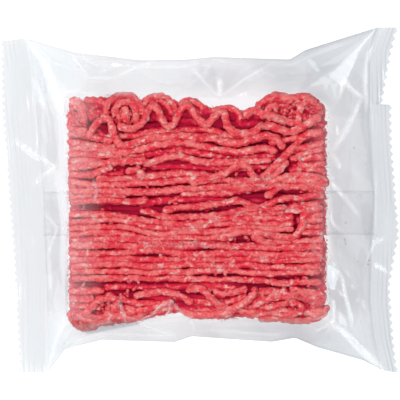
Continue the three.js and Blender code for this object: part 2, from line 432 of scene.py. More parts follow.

# Creases of slack film: each is a ridge along its points. Each has its height and its width, its points, and
# last its haze, a painted highlight along it, where that isn't the usual one.
CREASES = [
    # the hip at the back left corner
    (0.9, 2.2, [(-86, 79), (-76.5, 69), (-73, 58), (-68, 43)]),
    # round the facets of the dart over the back edge's middle
    (0.5, 1.3, [(10, 51), (1, 60.5), (-5, 66.5)]),
    (0.5, 1.3, [(10, 51), (22.5, 60.5), (35, 68)]),
    (0.9, 1.9, [(10, 51), (10, 61)]),
    (0.4, 1.2, [(1, 60.5), (6, 70)]),
    # round the dent behind the block's left half
    (0.5, 1.3, [(-64, 73), (-55, 61)]),
    (0.5, 1.3, [(-55, 61), (-42.5, 61)]),
    (0.5, 1.3, [(-42.5, 61), (-30.5, 67), (-21.5, 69.5)]),
    (0.4, 1.2, [(-60, 72), (-49, 66.5)]),
    (0.4, 1.2, [(-49, 64), (-41, 68)]),
    # along the back fold
    (0.35, 1.1, [(-46, 68.5), (-30, 66.5), (-8, 66.5), (6, 68)]),
    (0.35, 1.1, [(36, 66.5), (47, 68), (60, 74), (78, 80.5)]),
    # the small dart over the front edge
    (0.45, 0.9, [(-15, -49), (-24, -57), (-32, -60.5)]),
    (0.45, 0.9, [(-15, -49), (-7.5, -57.5), (-4, -62)]),
    (0.5, 1.3, [(-15, -49.5), (-15, -56.5)]),
    (0.5, 1.0, [(-40, -48.5), (-37, -60.5)]),
    # on top of the block
    (0.5, 0.9, [(-53, 11), (-51, 4.5), (-52.5, -1.5)]),
    (0.5, 1.0, [(61, -15.5), (60, -19)]),
    (0.4, 0.8, [(55, -23.5), (62.5, -30)]),
    # the back right corner
    (0.8, 1.3, [(54, 70.5), (59.5, 64)]),
    (0.6, 1.5, [(85.4, 78), (83, 68), (82.4, 56), (83.6, 46)], 0.6),
    (0.8, 1.6, [(83, 50), (77.5, 54), (73.5, 58), (71, 62)]),
    (0.9, 2.0, [(81, 52), (78, 45), (72.5, 34), (66, 24)]),
    (0.6, 1.5, [(66, 23.5), (70.5, 16.5)]),
    (0.7, 1.6, [(66, 9), (74, -0.5), (80.5, -8.5)]),
    # the right end
    (0.5, 0.8, [(72.9, -35.2), (75.1, -37.8)]),
    (0.5, 0.8, [(76, -41.6), (76.7, -44.2)]),
    (0.5, 0.8, [(78, -50.5), (79.5, -48.6)]),
    (0.6, 1.0, [(81.2, -49.3), (82.1, -54.4)]),
    (0.4, 1.2, [(65, 2), (66, -10), (72, -18)]),
    # the right end seal's buckle and its line beside it
    (0.7, 1.2, [(83.5, -29.5), (86.9, -21.2), (92.6, -18.3)]),
    (0.7, 1.2, [(86.9, -32), (90, -33), (93.9, -35.9)], 0.7),
    (0.35, 0.8, [(88, 15), (87.6, -17)]),
    # the front right corner
    (0.7, 1.1, [(69, -34.6), (71.3, -40.3), (72.2, -46.1), (74.1, -53.1), (75.7, -59.5),
        (75.7, -63.9)], 0.8),
    (0.6, 1.0, [(57.5, -65.2), (64.9, -61.4)]),
    (1.3, 2.2, [(64.9, -61.4), (70.9, -64.6), (79.2, -73.5), (90.7, -83.7)], 1.0),
    (0.5, 0.9, [(63.3, -66.5), (64.9, -62)]),
    # the left end
    (0.6, 1.5, [(-92, 30.5), (-83.5, 23.5), (-72.5, 17), (-83.5, 8)]),
    (0.6, 1.8, [(-83, 61), (-77.5, 45)]),
    (0.4, 1.3, [(-78, -5), (-71, -14), (-77, -30)]),
    # along the front fold
    (0.35, 1.1, [(-66, -71), (-49, -66.5), (-14, -67.5), (-5, -64.5)]),
    (0.35, 1.1, [(-28, -62), (-12, -68)]),
    (0.4, 1.1, [(-4, -57.5), (-3, -66)]),
    (0.35, 1.1, [(2, -64), (36, -67), (48, -65.5)]),
]

# Flat facets of slack film: each is raised, or dented where its height is negative, or only greyer with
# painted shade where it is 0. Each has its height and how far in from its edge it reaches that, how much haze
# it takes away as painted shade, how hazy it is at the least (-1 for any), which is painted highlight where
# that is high, and its corners, which go round clockwise as seen from above.
FACETS = [
    # the dart over the back edge's middle
    (-1.6, 4, 0.1, -1, [(9.5, 50.7), (1.5, 58.7), (-1.7, 67.6), (6, 71), (8.6, 62)]),
    (-1.9, 5, 0.08, -1, [(10.5, 50.7), (11.2, 62), (12, 71), (26.4, 70.2), (35.3, 68.9), (22.6, 58.7)]),
    # the dent behind the block's left half
    (-2.2, 4, 0.09, -1, [(-55.1, 60.9), (-61, 64), (-62, 73.6), (-46, 71.8), (-23, 70.3), (-38.6, 61.9),
        (-46.3, 60.9)]),
    (-0.8, 2, 0.06, -1, [(-84, 80), (-61.5, 73.6), (-60, 63.5), (-73, 69.5)]),
    (0.2, 2, 0, 0.12, [(-53, 62), (-56, 70), (-48, 68)]),
    # over the back edge's right half
    (1.2, 6, 0.05, -1, [(34, 56), (27, 66), (45, 68.5), (57, 62)]),
    # the film at the back right of the block, greyed with painted shade
    (0, 1, 0.08, -1, [(48, 53), (57, 68), (72, 70), (84, 58), (82, 40), (64, 42)]),
    # the back right corner's bright facet and its spikes, painted highlight over the grey round them, and the
    # end's side of it, which turns away
    (0.6, 2, 0, -0.22, [(88.1, 85.4), (82.7, 74.2), (73.7, 59.1), (69.3, 58), (61.6, 62.4)]),
    (0.2, 1, 0, -0.08, [(58.1, 66.4), (88.1, 85.6), (68, 67.4)]),
    (0.2, 1, 0, -0.08, [(52, 55.5), (61.6, 62.8), (69.3, 59.4), (61, 57)]),
    (0.2, 1, 0, -0.08, [(59.5, 59), (65, 59), (63.5, 53.5)]),
    (0.2, 1, 0, -0.08, [(64, 59), (69.3, 59.4), (67.8, 48.8)]),
    (0.2, 1, 0, -0.08, [(69, 59.4), (73.9, 59.6), (73.1, 55.1), (69.9, 48.3)]),
    (0.2, 1, 0, -0.08, [(73.2, 59.6), (80.5, 53), (79, 50.5), (72.6, 55.1)]),
    (-1.4, 3, 0, -1, [(74, 58), (80.5, 72), (82.5, 62), (78, 53)]),
    # the back left corner
    (1.0, 2, 0, 0.1, [(-77.5, 68.7), (-74.6, 70.6), (-68.1, 67.6), (-69.3, 64.9), (-73.1, 61.8)]),
    (-1.5, 4, 0.1, -1, [(-82, 45), (-78, 63), (-70.4, 42), (-69.3, 28.7), (-71.8, 16.6), (-79, 23.6)]),
    # the left end
    (1.3, 5, 0, 0.05, [(-82, -10), (-79, 20), (-72, 16)]),
    (-1.2, 4, 0.08, -1, [(-80, -5), (-72, 8), (-68.5, -12), (-70, -35), (-78, -38)]),
    (1.0, 5, 0, 0.05, [(-78, -62), (-78, -42), (-70, -40), (-69, -54)]),
    # the right end
    (1.2, 8, 0, -1, [(70, -8), (68, 20), (78, 34), (84, 10)]),
    (-1.3, 7, 0, -1, [(70, -44), (68, -16), (82, -22), (83, -40)]),
    # painted highlight: the whitest haze patches on the right end
    (0.8, 2, 0, 0.75, [(63, -30.8), (65.8, -32), (69.7, -35.2), (67.4, -44.8), (64.9, -44.5), (63, -41)]),
    (0.4, 1, 0, 0.6, [(68.4, -42.6), (71.9, -47), (70, -48.6)]),
    (0.4, 1, 0, 0.45, [(64.9, -48.6), (67.8, -49.3), (67.8, -60.1), (65.8, -59.5)]),
    (0.5, 1, 0, 0.5, [(68.4, -53.1), (72.2, -58.2), (74.8, -64.6), (69, -60.7)]),
    # over the mince that bulges at the front left corner
    (0.5, 3, 0.5, -1, [(-67, -54), (-30, -54), (-30, -62), (-46, -65), (-56, -67), (-64, -62)]),
    (-1.2, 2, 0.04, -1, [(57.2, -65.9), (64.9, -61.7), (65.8, -69.7), (63.3, -72.2), (57.5, -72.2)]),
    # along the front
    (1.2, 5, 0.06, -1, [(-60, -70), (-52, -61), (-30, -61), (-24, -69)]),
    (-0.8, 3, 0.07, -1, [(-72, -78), (-63, -63), (-55, -66), (-66, -74)]),
    (1.2, 5, 0.08, -1, [(4, -68), (0, -61), (30, -62), (38, -69)]),
]


def facets_at(x, y):
    """How far the facets raise each place, how much haze they take away as painted shade, and how hazy it is
    at the least, as painted highlight.
    """
    raised, facet_shade, hazed = np.zeros(np.shape(x)), np.zeros(np.shape(x)), np.full(np.shape(x), -1.0)
    for height, width, adds_shade, least_haze, corners in FACETS:
        inside = np.full(np.shape(x), np.inf)
        for (ax, ay), (bx, by) in zip(corners, corners[1:] + corners[:1]):
            dx, dy = bx - ax, by - ay
            inside = np.minimum(inside, ((x - ax) * dy - (y - ay) * dx) / math.hypot(dx, dy))
        raised += height * np.clip(inside / width, 0, 1)
        covered = np.clip(inside / FACET_RIM, 0, 1)
        facet_shade += adds_shade * covered
        hazed = np.maximum(hazed, (1 + least_haze) * covered - 1)
    return raised, facet_shade, hazed


def distance_to(points, x, y):
    """How far each place is from a broken line, and where along it from 0 to 1 the nearest point lies."""
    points = np.asarray(points, float)
    lengths = distance_along(points)
    nearest = np.full(np.shape(x), np.inf)
    share = np.zeros(np.shape(x))
    for (ax, ay), (bx, by), start, end in zip(points, points[1:], lengths, lengths[1:]):
        dx, dy = bx - ax, by - ay
        t = np.clip(((x - ax) * dx + (y - ay) * dy) / (dx * dx + dy * dy), 0, 1)
        away = np.hypot(x - ax - t * dx, y - ay - t * dy)
        closer = away < nearest
        nearest = np.where(closer, away, nearest)
        share = np.where(closer, (start + t * (end - start)) / lengths[-1], share)
    return nearest, share


def creases_at(x, y):
    """How far the creases raise each place, and how far their haze whitens it as painted highlight."""
    raised, hazed = np.zeros(np.shape(x)), np.zeros(np.shape(x))
    for height, width, points, *own_haze in CREASES:
        away, share = distance_to(points, x, y)
        fade = np.minimum(1, 4 * np.minimum(share + 0.05, 1.02 - share))
        profile = np.clip(1 - away / width, 0, 1) * fade
        raised += height * profile
        haze = own_haze[0] if own_haze else CREASE_PAINTED_HIGHLIGHT * height
        hazed = np.maximum(hazed, haze * profile)
    return raised, hazed


def tent(x, y, inner_left, inner_right):
    """How far up the tent of film a place is: 0 on its outline, 1 or more over the block."""
    front, back = along(FRONT_FOLD, x), along(BACK_FOLD, x)
    end_slope = np.minimum(
        (x - inner_left) / (BLOCK_LEFT - inner_left),
        (inner_right - x) / (inner_right - BLOCK_RIGHT),
    )
    side_slope = np.minimum((y - front) / (BLOCK_FRONT - front), (back - y) / (back - BLOCK_BACK))
    softness = np.clip(np.minimum(end_slope, side_slope), MIN_SOFTNESS, RIDGE_SOFTNESS)
    ridge = soft_min(end_slope, side_slope, softness)
    is_back_right = (x > 0) & (y > 0)
    end_share, side_share = (np.where(is_back_right, a, b) for a, b in zip(BACK_RIGHT_CUT, CORNER_CUT))
    facet = end_share * end_slope + side_share * side_slope
    facet = facet + (ridge - facet) * smooth((facet - 0.72) / 0.28)
    return np.maximum(0, np.minimum(ridge, facet))


def spread(stretches, last):
    """Evenly spaced values along stretches of (from, to, count), and then the last value."""
    spaced = [np.linspace(a, b, count, endpoint=False) for a, b, count in stretches]
    return np.append(np.concatenate(spaced), last)


def film_grid(rows_per_tooth, column_counts):
    """x, y, share from front to back and share outside the tube, for every row and column of a film."""
    sides = TEETH * rows_per_tooth
    shares = [k / sides for k in range(sides + 1)]
    slit = SLIT_TOOTH * rows_per_tooth
    rows = [(share, k >= slit) for k, share in enumerate(shares)]
    rows.insert(slit, (shares[slit] - SLIT_WIDTH, False))
    left_seal, left_slope, block, right_slope, right_seal = column_counts

    x_rows, outside_rows = [], []
    for share, is_flap in rows:
        tooth = share * TEETH - math.floor(share * TEETH + 1e-6)
        tip = max(TOOTH_DEPTH * (1 - abs(2 * min(max(tooth, 0), 1) - 1)), NOTCH_WIDTH)
        if share in (0, 1):
            tip = TOOTH_DEPTH
        left_notch = along(LEFT_TIPS, share) + TOOTH_DEPTH
        right_notch = along(RIGHT_FLAP_TIPS if is_flap else RIGHT_TIPS, share) - TOOTH_DEPTH
        left_inner, right_inner = along(LEFT_INNER, share), along(RIGHT_INNER, share)
        stretches = [
            (left_notch - tip, left_notch, 2, 1, 1),
            (left_notch, left_inner, left_seal, 1, 0),
            (left_inner, BLOCK_LEFT, left_slope, 0, 0),
            (BLOCK_LEFT, BLOCK_RIGHT, block, 0, 0),
            (BLOCK_RIGHT, right_inner, right_slope, 0, 0),
            (right_inner, right_notch, right_seal, 0, 1),
            (right_notch, right_notch + tip, 2, 1, 1),
        ]
        x_rows.append(spread([(a, b, count) for a, b, count, _, _ in stretches], right_notch + tip))
        outside_rows.append(spread([(a, b, count) for _, _, count, a, b in stretches], 1))
    x, outside = np.array(x_rows), np.array(outside_rows)
    share = np.array([share for share, _ in rows])[:, None]
    front, back = along(FRONT_FOLD, x[0]), along(BACK_FOLD, x[-1])
    y = front + (back - front) * share
    return x, y, np.broadcast_to(share, x.shape), outside


crimp_depths, crimp_shifts, seal_buckles = Hills(5, 24), Hills(6, 40), Hills(9, 14)
broad_facets, fine_facets, lower_facets = Facets(15), Facets(7), Facets(13)
mist_patches = Hills(9, 4)


def film_height(x, y, share, outside, is_upper):
    """The height of the upper or lower film over the grid, its haze, painted light and painted shade, and
    where it touches the mince.
    """
    inner_left, inner_right = along(LEFT_INNER, share), along(RIGHT_INNER, share)
    flat_end, seal_start = SEAL_REACH
    near_seal = np.where(outside > 0, 1, smooth((np.abs(x) - flat_end) / (seal_start - flat_end)))
    wave = SEAL_WAVE_HEIGHT * np.sin(2 * np.pi * SEAL_WAVE_TURNS * share + SEAL_WAVE_PHASE) * near_seal
    seam = FOLD_HEIGHT + (SEAL_HEIGHT - FOLD_HEIGHT) * near_seal + wave - SEAL_DROOP * outside**2

    sealed = smooth(outside / 0.08)
    from_inner = np.where(x < 0, inner_left - x, x - inner_right)
    pitch, depth = (np.where(x < 0, left, right) for left, right in zip(LEFT_CRIMPS, RIGHT_CRIMPS))
    ridges = np.sin(2 * np.pi * (from_inner / pitch + CRIMP_WOBBLE * crimp_shifts(x, y)))
    pressed = depth * (1 + 0.7 * crimp_depths(x, y)) * ridges
    seam = seam + sealed * (pressed + SEAL_BUCKLE * seal_buckles(x, y))

    rise = tent(x, y, inner_left, inner_right)
    slope = soft_min(rise, np.ones_like(rise), SHOULDER)
    bulged = slope + SLOPE_BULGE * slope * (1 - slope)
    gap = SEALED_GAP / 2 * (1 + 2 * slope)
    slack = smooth(slope / 0.3) * smooth((1.02 - rise) / 0.15)  # neither sealed nor on the block
    faceted, facet_shade, facet_haze = facets_at(x, y)
    creased, crease_haze = creases_at(x, y)
    if is_upper:
        taut_corner = smooth(x / 20) * smooth(y / 20) * smooth(1.6 - np.abs(x - y) / 22)
        height = seam + gap + (TOP_FILM - seam - gap) * bulged
        height += creased * np.maximum(smooth(slope / 0.12), smooth(outside / 0.1)) + faceted * slack
        crumpled = BROAD_SLACK * broad_facets(x, y) + FINE_SLACK * fine_facets(x, y)
        height += slack * (1 - 0.8 * taut_corner) * crumpled
        height = np.minimum(height, BLOCK_HEIGHT)
    else:
        height = (seam - gap) * (1 - bulged) + FILM_LIFT * bulged + slack * LOWER_SLACK * lower_facets(x, y)
        height = np.maximum(height, FILM_LIFT)

    on_slopes = smooth((1.0 - rise) / HAZE_RIM)
    mist = LEFT_MIST * smooth((LEFT_MIST_FROM - x) / LEFT_MIST_LENGTH)
    mist = mist + RIGHT_MIST * smooth((x - RIGHT_MIST_FROM) / RIGHT_MIST_LENGTH)
    mist = mist * (0.7 + 0.3 * mist_patches(x, y)) * (1 - on_slopes)
    # Painted light and shade: the slopes' haze whitens the left and the front and greys the right; facets
    # take haze away as painted shade.
    loose = along(SLOPE_HAZE_AND_PAINTED_LIGHT, x) + FRONT_PAINTED_LIGHT * smooth((FRONT_PAINTED_LIGHT_FROM - y) / FRONT_PAINTED_LIGHT_LENGTH)
    loose = loose + 0.08 * broad_facets(x, y) - facet_shade
    loose = np.maximum(loose, DEEPEST_PAINTED_SHADE) * on_slopes
    # Facets and creases add painted highlight, and the folded edges painted shade.
    loose = np.maximum(loose, facet_haze) + crease_haze - FOLD_PAINTED_SHADE * (1 - smooth(rise / FOLD_SHARE))
    # Painted shade greys the seals, the right one more, and creases add painted highlight.
    seals = np.where(x < 0, *SEAL_PAINTED_SHADE) + crease_haze
    haze = loose * (1 - sealed) + seals * sealed + mist
    contact = smooth((rise - 0.8) / 0.2) * (1 - smooth(creased / 0.2))
    if not is_upper:
        haze = np.where(haze > 0, haze * LOWER_HAZE, haze)
    return height, haze, contact


def sheet_faces(rows, columns):
    """The faces of a grid of corners, all facing up."""
    number = np.arange(rows * columns).reshape(rows, columns)
    near, far = number[:-1], number[1:]
    return np.stack([near[:, :-1], near[:, 1:], far[:, 1:], far[:, :-1]], axis=-1).reshape(-1, 4)


def add_film(name, material, x, y, height, haze, contact, faces_up):
    """A sheet of film over a grid of corners."""
    faces = sheet_faces(*x.shape)
    if not faces_up:
        faces = faces[:, ::-1]
    corners = np.stack([x, y, height], axis=-1).reshape(-1, 3)
    film = add_piece(name, corners, faces.tolist(), material)
    add_values(film, haze=haze, contact=contact)
    return film


def make_film(name, material, grid, is_upper):
    """The upper or the lower half of the tube, out to the tips of its teeth."""
    x, y, share, outside = film_grid(*grid)
    height, haze, contact = film_height(x, y, share, outside, is_upper)
    film = add_film(name, material, x, y, height, haze, contact, is_upper)
    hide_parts(NODE)


SEAM_EDGES = (-17.5, 4.5)  # the front and back edges of the fin seal that runs along under the pack
SEAM_GAP = 0.2
SEAM_WAVE = 0.6  # how far the seal's edges stray
SEAM_HAZE, SEAM_EDGE_HAZE = 0.02, 0.25


def make_back_seam(material):
    """The fin seal that closes the tube, folded flat against the lower film."""
    share_along, share_across = np.meshgrid(np.linspace(0, 1, 110), np.linspace(0, 1, 12))
    left, right = along(LEFT_INNER, 0.5), along(RIGHT_INNER, 0.5)
    x = left + (right - left) * share_along
    y = SEAM_EDGES[0] + (SEAM_EDGES[1] - SEAM_EDGES[0]) * share_across
    y = y + SEAM_WAVE * Hills(25, 60)(x, share_across)
    front, back = along(FRONT_FOLD, x), along(BACK_FOLD, x)
    height, _, contact = film_height(x, y, (y - front) / (back - front), np.zeros_like(x), is_upper=False)
    haze = SEAM_HAZE + SEAM_EDGE_HAZE * smooth((np.abs(share_across - 0.5) - 0.44) / 0.05)
    add_film("back_seam", material, x, y, np.maximum(height - SEAM_GAP, 0.05), haze, contact, faces_up=False)


# ---------------------------------------------------------------- strands of mince

STRAND_RADIUS = 1.95
RING_STEP = 0.9
TOP_CREST = 34.0  # of the top layer's strands
MINCE_LOWEST, MINCE_HIGHEST = 0.66, TOP_FILM - 0.05  # the film presses flat what would stick out
LAYER_PITCH = 3.4
SECOND_DROP = 2.9  # how far the second layer's crests are below the top layer's
SECOND_PITCH, SECOND_HIGHEST = 3.4, 33.5
SIDES_TOP, ENDS_TOP = BLOCK_HEIGHT - 4.5, BLOCK_HEIGHT - 3.2  # over the middles of their highest strands
ENDS_LOWEST = 2.6
BOTTOM_PITCH, SQUEEZED = 3.6, 0.72  # how far apart and how flat the bottom strands are
ROW_PITCH = 3.25
# Painted shade: how deep in the block the mince starts to take it, and where it is darkest.
UNSHADED_DEPTH, DARKEST_SHADE_DEPTH = 0.3, 6.3  # how deep in the block the meat starts to darken, and is darkest

# The block's long edges as (x, y): the back one goes round the curls, and the front one bulges unevenly.
BACK_EDGE = [
    (-64, 50), (-52, 50.5), (-41, 53), (-36, 53.5), (-28, 50), (-22, 52.5), (-17, 52.5), (-8, 47), (-1, 48.5),
    (7, 46), (15, 46), (21.5, 43), (29, 46.5), (37, 52), (55, 51), (60.5, 45),
]
FRONT_EDGE = [
    (-65, -58), (-62, -61.5), (-56, -64), (-45, -62.5), (-32, -61), (-22, -58), (-10, -55.5), (-5, -58.5),
    (12, -59.5), (32, -57), (45, -60), (63, -58.5),
]


# How the block's top rounds down towards its front, its back and its ends: how far from the pack's middle
# line, or from the block's middle, that starts, over what length, and how far it drops there.
FRONT_ROUNDING, BACK_ROUNDING, END_ROUNDING = (44, 15, 6), (38, 13, 3), (57, 8, 1.6)
BLOCK_MIDDLE = -1


def block_top(x, y):
    """The height of the top strands' crests."""
    height = TOP_CREST
    sides = (-y, FRONT_ROUNDING), (y, BACK_ROUNDING), (np.abs(x - BLOCK_MIDDLE), END_ROUNDING)
    for away, (start, length, drop) in sides:
        height = height - drop * np.clip((away - start) / length, 0, 1.2) ** 2
    return height


def painted_shade_depth(x, y, z, below_crest):
    """How much painted shade a place takes with its depth in the block, from 0 on its surface to 1. A strand
    that lies only a little lower than the others has an unshaded crest, and takes painted shade only down its
    sides.
    """
    from_ends = np.minimum(x - BLOCK_LEFT, BLOCK_RIGHT - x)
    from_sides = np.minimum(y - along(FRONT_EDGE, x), along(BACK_EDGE, x) - y)
    under = np.minimum.reduce([block_top(x, y) - z, z, from_ends, from_sides])
    crest = np.maximum(under - below_crest, 0)
    under = np.minimum(under, below_crest + crest * np.minimum(crest / SECOND_DROP, 1) ** 2)
    return np.clip((under - UNSHADED_DEPTH) / (DARKEST_SHADE_DEPTH - UNSHADED_DEPTH), 0, 1)


class Bundle:
    """Strands joined into one mesh."""

    def __init__(self):
        self.corners, self.faces, self.tones, self.below_crests = [], [], [], []
        self.count = 0

    def add(self, path, radius=STRAND_RADIUS, sides=12, step=RING_STEP, lumps=0.08, flatten=1.0):
        """A lumpy strand with round ends along a path of points."""
        path = resample(np.asarray(path, float), step)
        rings = len(path)
        where = distance_along(path)
        tangent = np.gradient(path, axis=0)
        tangent /= np.linalg.norm(tangent, axis=1)[:, None]
        sideways = np.cross((0, 0, 1), tangent)
        sideways /= np.maximum(np.linalg.norm(sideways, axis=1), 1e-6)[:, None]
        upward = np.cross(tangent, sideways)

        to_end = np.minimum(where, where[-1] - where)
        rounding = np.sqrt(np.clip(1 - (1 - to_end / radius) ** 2, 0.04, 1))
        rounding = np.where(to_end < radius, rounding, 1)
        swell = 1 + 0.08 * line_noise(where, 7) + 0.05 * line_noise(where, 2.5)
        bumps = rng.normal(0, 1, (rings, sides))
        bumps = bumps + np.roll(bumps, 1, axis=0) + np.roll(bumps, 1, axis=1)
        radii = radius * (rounding * swell)[:, None] * (1 + lumps * bumps)

        turn = np.arange(sides) * 2 * np.pi / sides
        ring = path[:, None] + radii[..., None] * (
            np.cos(turn)[None, :, None] * sideways[:, None]
            + np.sin(turn)[None, :, None] * upward[:, None] * flatten
        )
        number = self.count + np.arange(rings * sides).reshape(rings, sides)
        after = np.roll(number, -1, axis=1)
        quads = np.stack([number[:-1], after[:-1], after[1:], number[1:]], axis=-1).reshape(-1, 4)
        self.faces += quads.tolist()
        self.faces += [number[0, ::-1].tolist(), number[-1].tolist()]
        ring[..., 2] = np.clip(ring[..., 2], MINCE_LOWEST, MINCE_HIGHEST)
        self.corners.append(ring.reshape(-1, 3))
        self.below_crests.append((path[:, None, 2] + radius - ring[..., 2]).ravel())
        self.tones.append(np.full(rings * sides, rng.normal(0, 1)))
        self.count += rings * sides

    def lay(self, points, lift, radius, wander=0.35):
        """A strand on the block's top along points seen from above, its crest `lift` over the others'."""
        seen = smooth_path(points, RING_STEP)
        where = distance_along(seen)
        x = seen[:, 0]
        y = seen[:, 1] + wander * line_noise(where, 11)
        z = block_top(x, y) - radius + lift + 0.35 * line_noise(where, 9)
        z = np.minimum(z, TOP_FILM - 0.1 - radius * 1.1)
        self.add(np.stack([x, y, z], axis=1), radius=radius)

    def finish(self, name, material):
        corners = np.concatenate(self.corners)
        piece = add_piece(name, corners, self.faces, material)
        depth = painted_shade_depth(*corners.T, np.concatenate(self.below_crests))
        add_values(piece, tone=np.concatenate(self.tones), depth=depth)


# The strands of the top layer's back half and of its front edge, which have run unevenly: how far the crest
# of each is over the others', and its points seen from above.
TOP_STRANDS = [
    # under the curls of the back edge
    (-2.6, [(-60, 41), (-50, 43), (-40, 43), (-30, 41), (-20, 41), (-8, 39.5), (4, 39), (16, 38), (30, 38)]),
    (-2.9, [(-58, 46.5), (-48, 45.5), (-38, 47), (-27, 46), (-16, 45), (-5, 43.5), (5, 41.5), (16, 41),
        (27, 41)]),
    (-2.4, [(26, 41), (36, 43.5), (46, 43), (58, 42)]),
    (-2.8, [(32, 48), (40, 47), (48, 46), (57, 45)]),
    (-1.2, [(-57.6, 50.2), (-54.5, 49.3), (-50.9, 49.3), (-47, 49.5)]),
    (-1.3, [(-55.4, 45.5), (-53.6, 42.7), (-54.5, 39.5)]),
    (-0.3, [(-65, 44), (-63.4, 40.4), (-64.3, 37), (-61.7, 34.6), (-55, 34.5)]),
    (-1.5, [(-51, 32), (-36, 32), (-23, 34), (-7, 35), (4, 35), (16, 31.5), (29, 32)]),
    (-0.1, [(-65.5, 33), (-57, 32), (-43, 29)]),
    (-0.2, [(-66, 29.5), (-55, 27.5), (-41, 26.5)]),
    (-0.2, [(-65, 26.5), (-57, 26), (-41, 24), (-32, 25), (-18, 28), (-8, 28.5), (4, 26.5), (20, 24),
        (31, 26), (39, 24)]),
    (-0.5, [(-65.5, 23.5), (-50, 22.5), (-38, 21.5)]),
    (-0.2, [(-65.5, 20), (-52, 20), (-48, 19)]),
    (0.5, [(-65.5, 15.5), (-57, 17), (-42, 19), (-28, 19.5), (-26, 18)]),
    (-1.7, [(-39, 21), (-25, 23), (-5, 24), (16, 21), (38, 22)]),
    (0.3, [(-28, 17), (-25, 19), (-12, 22), (2, 19), (23, 19.5), (36, 20)]),
    (-0.4, [(34, 29), (44, 30), (50, 32)]),
    (-0.3, [(44, 24.5), (52, 26), (62, 29)]),
    (-0.2, [(47, 21), (55, 24), (62, 25.5)]),
    (-0.6, [(44, 21.5), (52, 21), (62, 22)]),
    (-0.7, [(44, 15), (52, 16), (62, 15)]),
    # round the widest gap
    (-2.1, [(-25, 17), (-3, 16.5), (15, 16), (36, 17)]),
    (0, [(-65, 13), (-55, 13), (-43, 17)]),
    (-1.5, [(-51, 11), (-46, 13), (-37, 13.5)]),
    (0.4, [(-37, 13.5), (-34.5, 15), (-31, 15), (-28, 13.5), (-28.5, 12), (-32, 12.5)]),
    (0, [(-52, 10.5), (-30, 11), (-16, 13), (-4, 13.5), (12, 10)]),
    (-0.3, [(-65, 9.5), (-53, 8), (-36, 8), (-7, 10), (15, 10), (25, 9.5)]),
    # the thick strand across the middle, and those it parts from
    (0.5, [(-65, 5), (-40, 4.5), (-20, 4.5), (-1, 6), (20, 7), (33, 9), (49, 12.5), (60, 10.5), (64, 8)]),
    (0.2, [(40.5, 9), (46, 10), (51, 9), (57, 7.5), (62.5, 5)]),
    (-0.8, [(-65, 2), (-48, 2.5), (-36, 2.5)]),
    (0.2, [(-64, -1), (-47, 0), (-34, -0.5), (-25, 0.5)]),
    (-0.5, [(-10, 3.5), (9, 3.5), (20, 5), (41, 8.5)]),
    (-1.9, [(-30, -3), (-21, 0), (-1, 0.5), (15, 0)]),
    (0.2, [(32, 1.5), (36, 4), (40, 6.5), (51, 6.5), (57, 5.5)]),
    (-0.5, [(55, 5), (62, 2.5)]),
    # below the long gap
    (0.4, [(-18.5, -5.5), (-14, -4), (-1, -3), (7, -2), (19, 0), (29, -3), (38, 0), (43, 1), (49, 1),
        (56, 2.5), (62, 2)]),
    (0.3, [(-30, -5), (-25, -5.5), (-22, -7), (-16, -8.5), (-7, -8.5), (7, -7.5), (18, -5.5), (44, -3.5)]),
    (-0.2, [(41, -5), (47, -3), (60, -1.5)]),
    (-0.2, [(14, -8), (18, -6.5), (33, -6.5), (47, -5.5), (61.5, -4)]),
    (-0.2, [(-65, -7), (-47, -7), (-34, -8.5), (-21, -11), (-3, -11.5), (15, -9), (47, -8.5)]),
    (-0.4, [(52.5, -7.5), (61.5, -7)]),
    (0, [(-65, -11), (-45, -9.5), (-32, -11), (-25, -13), (-7, -14), (7, -12), (24, -11.5), (47, -11.5)]),
    (-0.1, [(52.5, -10), (61.5, -9.5)]),
    (-0.3, [(51, -13), (61.5, -13)]),
    (0, [(-65, -14), (-40, -13), (-23, -16.5), (-7, -15.5), (11, -15), (20, -13.5), (47, -14.5)]),
    (-0.3, [(-65, -17), (-40, -16), (-25, -19), (-7, -18.5), (12, -18.5), (17, -19)]),
    (-0.2, [(50, -16), (61.5, -16)]),
    (-0.1, [(-65, -20), (-40, -19), (-32, -19.5), (-25, -21.5), (-7, -21.5), (15.5, -21.5)]),
    (0.4, [(25, -18), (28.5, -18), (31, -20), (34, -21.5)]),
    (-0.3, [(36, -20.5), (61.5, -19.5)]),
    # the front edge
    (-1.8, [(-48, -43), (-20, -43), (3, -42.5), (24, -44.5)]),
    (-0.4, [(-65.5, -45), (-47, -45)]),
    (0.2, [(-33, -48), (-27, -46), (-18.5, -45), (-12.5, -46), (-7, -48.5), (-3, -51)]),
    (-0.4, [(-65, -49), (-52, -49)]),
    (-0.4, [(-65, -52.5), (-53, -52.5)]),
    (0.3, [(-47.5, -47), (-44, -47.5), (-41.5, -50), (-42, -54), (-45, -55)]),
    (-0.6, [(-40.5, -47.5), (-33, -50.5), (-21, -51), (-16, -50.5)]),
    (-0.8, [(-38, -53), (-28, -54.5), (-20, -54), (-10, -53)]),
    (0, [(6.5, -44), (11, -46.5), (18.5, -45), (24, -43.5)]),
    (-0.8, [(-4, -50), (6, -51), (15, -50), (24, -47)]),
    (-0.6, [(29, -45), (44, -45)]),
    (0.3, [(44.5, -44), (51, -45), (58, -46.5), (63, -47.5)]),
    (0.2, [(26, -51.5), (32, -49), (38, -47.5), (49, -46.5), (54, -48.5), (58, -50.5)]),
    (-0.5, [(29, -53), (42, -51), (44.5, -50.5)]),
    (-0.2, [(44, -51), (47, -50.5), (50, -52), (51, -55.5)]),
    (-0.8, [(36, -54), (49, -55.5), (62, -54)]),
    (-1.0, [(22.5, -57), (35, -55.5), (47, -58)]),
]

# How thick the top layer's strands are from front to back, as shares of the usual radius.
THICKNESS = [(-60, 1.0), (-42, 0.94), (-20, 0.84), (-8, 0.84), (0, 0.98), (50, 1.03)]

